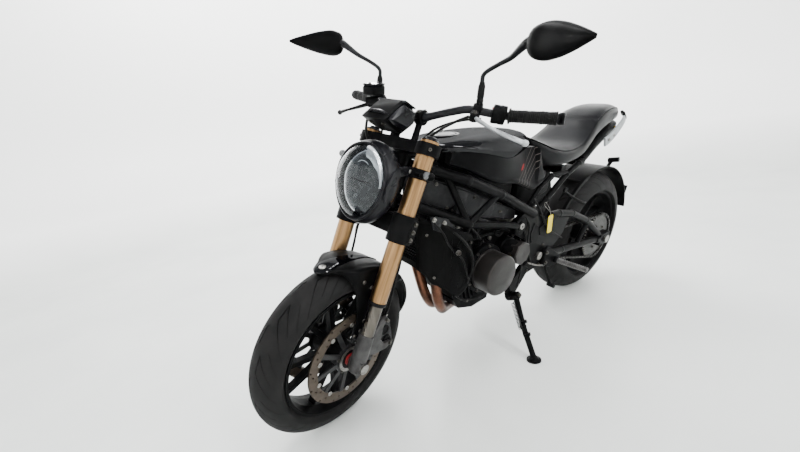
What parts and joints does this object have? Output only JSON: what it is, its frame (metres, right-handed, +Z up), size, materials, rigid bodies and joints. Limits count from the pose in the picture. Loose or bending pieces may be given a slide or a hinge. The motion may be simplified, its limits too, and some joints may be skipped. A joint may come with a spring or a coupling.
{
  "type": "standard motorcycle",
  "caption": "Standard motorcycle with a trellis frame, parallel-twin engine and upside-down fork, leaning on its side stand, with turning wheels, steering and folding stand.",
  "frame": {"origin": "on the floor under the middle of the parked motorcycle", "axes": "+X forward, +Y to the rider's left, +Z up; the motorcycle leans to +Y on its side stand"},
  "size_m": [2.1211, 0.9444, 1.299],
  "materials": {
    "black_paint": "satin",
    "gloss_black": "gloss",
    "black_plastic": "matt",
    "gold_anodised": "satin",
    "cast_aluminium": "cast",
    "bronze_cover": "satin",
    "bare_steel": "brushed",
    "header_steel": "heat stained",
    "seat_cover": "grained",
    "tyre_rubber": "matt",
    "grip_rubber": "matt",
    "clear_lens": "clear",
    "reflector": "mirror",
    "red_lens": "gloss",
    "silver_paint": "satin"
  },
  "bodies": {
    "chassis": {"frame": "black_paint", "subframe": "black_paint", "crankcase": "black_paint", "cylinders": "black_paint", "engine_covers": "bronze_cover", "radiator": "black_paint", "radiator_shrouds": "black_plastic", "exhaust_headers": "header_steel", "silencer": "black_paint", "fuel_tank": "gloss_black", "side_covers": "black_plastic", "seat": "seat_cover", "tail_cowl": "black_plastic", "tail_light": "red_lens", "grab_rails": "silver_paint", "swingarm": "black_paint", "shock_absorber": "bare_steel", "rear_hugger": "black_plastic", "rear_indicators": "black_plastic", "footrests": "cast_aluminium", "chain": "bare_steel", "rear_axle": "bare_steel", "rear_caliper": "black_paint"},
    "steering": {"yokes": "black_paint", "fork_tubes": "gold_anodised", "fork_feet": "cast_aluminium", "front_axle": "bare_steel", "front_fender": "black_plastic", "front_calipers": "black_paint", "handlebar": "black_paint", "grips": "grip_rubber", "controls": "black_plastic", "mirrors": "black_plastic", "headlight_shell": "black_plastic", "headlight_lens": "clear_lens", "headlight_projector": "reflector", "instrument": "black_plastic", "front_indicators": "black_plastic", "brake_hoses": "grip_rubber"},
    "front_wheel": {"front_tyre": "tyre_rubber", "front_rim": "black_paint", "front_discs": "bare_steel"},
    "rear_wheel": {"rear_tyre": "tyre_rubber", "rear_rim": "black_paint", "rear_sprocket": "bare_steel", "rear_disc": "bare_steel"},
    "side_stand": {"side_stand": "black_paint"}
  },
  "joints": [
    {"name": "steering", "type": "hinge", "parent": "chassis", "child": "steering", "pos_m": [0.73127, -0.18893, 0.27809], "axis": [-0.4206, 0.1683, 0.8915], "range_deg": [-42, 18]},
    {"name": "front_wheel_spin", "type": "hinge", "parent": "steering", "child": "front_wheel", "pos_m": [0.76322, -0.17881, 0.29125], "axis": [-0.189, 0.9448, -0.2675], "continuous": true},
    {"name": "rear_wheel_spin", "type": "hinge", "parent": "chassis", "child": "rear_wheel", "pos_m": [-0.69603, -0.18332, 0.31105], "axis": [-0.0004, 0.9826, -0.1857], "continuous": true},
    {"name": "side_stand_fold", "type": "hinge", "parent": "chassis", "child": "side_stand", "pos_m": [0.03383, -0.01675, 0.24839], "axis": [-0.027, 0.944, 0.3288], "range_deg": [0, 73.55]}
  ]
}
